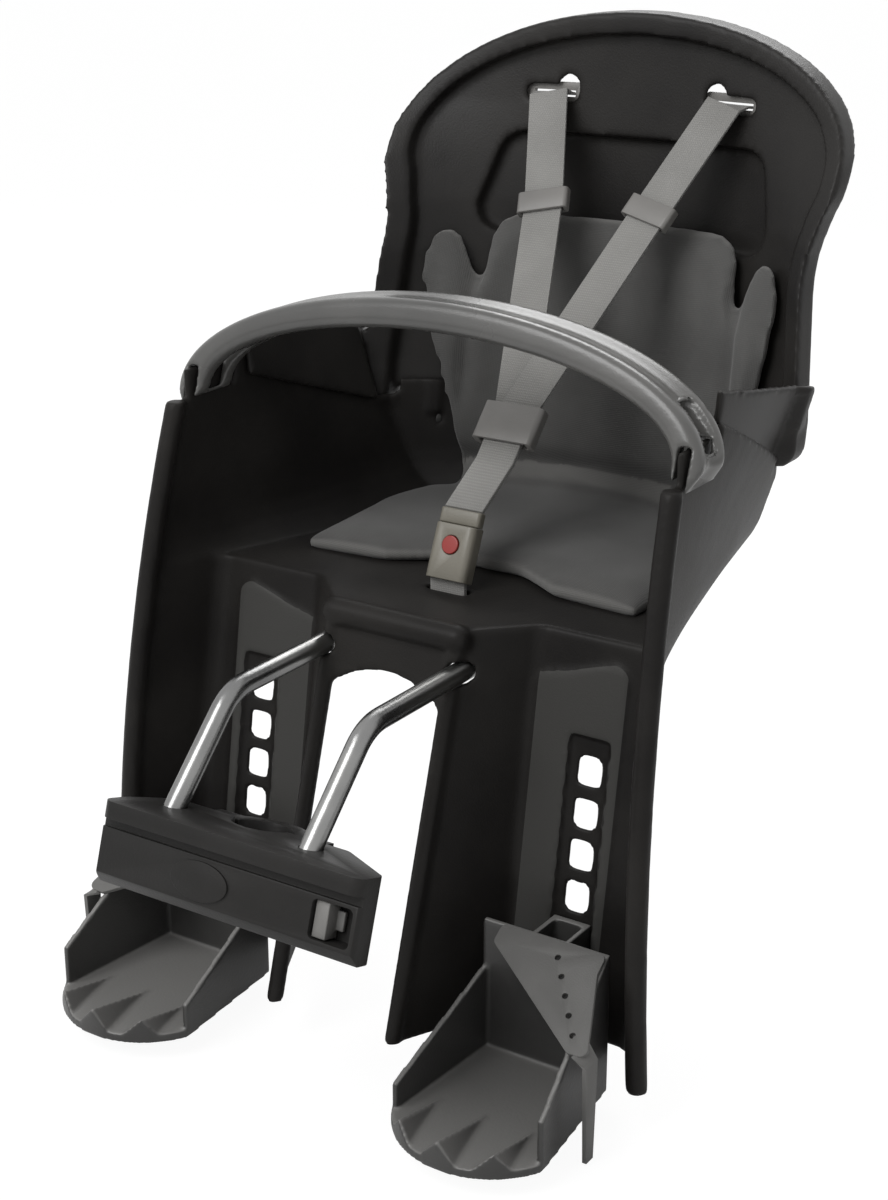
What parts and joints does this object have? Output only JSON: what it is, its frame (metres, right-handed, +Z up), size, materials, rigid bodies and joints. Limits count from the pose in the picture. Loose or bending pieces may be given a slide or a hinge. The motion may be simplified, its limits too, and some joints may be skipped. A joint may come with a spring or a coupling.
{
  "type": "child bike seat",
  "caption": "Front-mounted child bicycle seat: moulded tub and backrest with harness, grab bar and sliding footrests, carried on a steel fork held in a head tube block.",
  "frame": {"origin": "middle of the head tube clamp", "axes": "+Z up, -Y the way the child looks, +X the child's left"},
  "size_m": [0.3654, 0.462, 0.5488],
  "materials": {
    "shell": "fine moulded grain",
    "pad": "grey padded cloth",
    "bar": "satin",
    "webbing": "woven polyester",
    "buckle": "satin",
    "button": "gloss",
    "steel": "bright drawn rod",
    "screw": "zinc plated",
    "insert": "plain",
    "block": "satin",
    "latch": "satin",
    "footrest": "satin",
    "foot_strap": "matt"
  },
  "bodies": {
    "seat": {"seat_tub": "shell", "backrest": "shell", "seat_pad": "pad", "grab_bar": "bar", "left_shoulder_strap": "webbing", "right_shoulder_strap": "webbing", "centre_strap": "webbing", "crotch_strap": "webbing", "left_strap_adjuster": "buckle", "right_strap_adjuster": "buckle", "strap_slider": "buckle", "left_strap_anchor": "buckle", "right_strap_anchor": "buckle", "buckle_housing": "buckle", "buckle_tongue": "buckle", "crotch_anchor": "buckle", "support_fork": "steel", "backrest_screws": "screw", "bracket_screws": "screw", "clamp_bolts": "screw", "clamp_inserts": "insert", "mount_block": "block", "clamp_cap": "block", "fork_bracket": "block"},
    "left_footrest": {"left_footrest": "footrest", "left_foot_strap": "foot_strap"},
    "right_footrest": {"right_footrest": "footrest", "right_foot_strap": "foot_strap"},
    "buckle_button": {"buckle_button": "button"},
    "release_latch": {"release_latch": "latch"}
  },
  "joints": [
    {"name": "left_footrest_slide", "type": "slide", "parent": "seat", "child": "left_footrest", "axis": [0, 0.1551, 0.9879], "range_m": [0, 0.096]},
    {"name": "right_footrest_slide", "type": "slide", "parent": "seat", "child": "right_footrest", "axis": [0, 0.1551, 0.9879], "range_m": [0, 0.096]},
    {"name": "buckle_button_press", "type": "slide", "parent": "seat", "child": "buckle_button", "axis": [0, 0.9191, -0.3939], "range_m": [0, 0.002], "stiffness_N_per_m": 400},
    {"name": "release_latch_slide", "type": "slide", "parent": "seat", "child": "release_latch", "axis": [1, 0, 0], "range_m": [0, 0.009], "stiffness_N_per_m": 300}
  ]
}
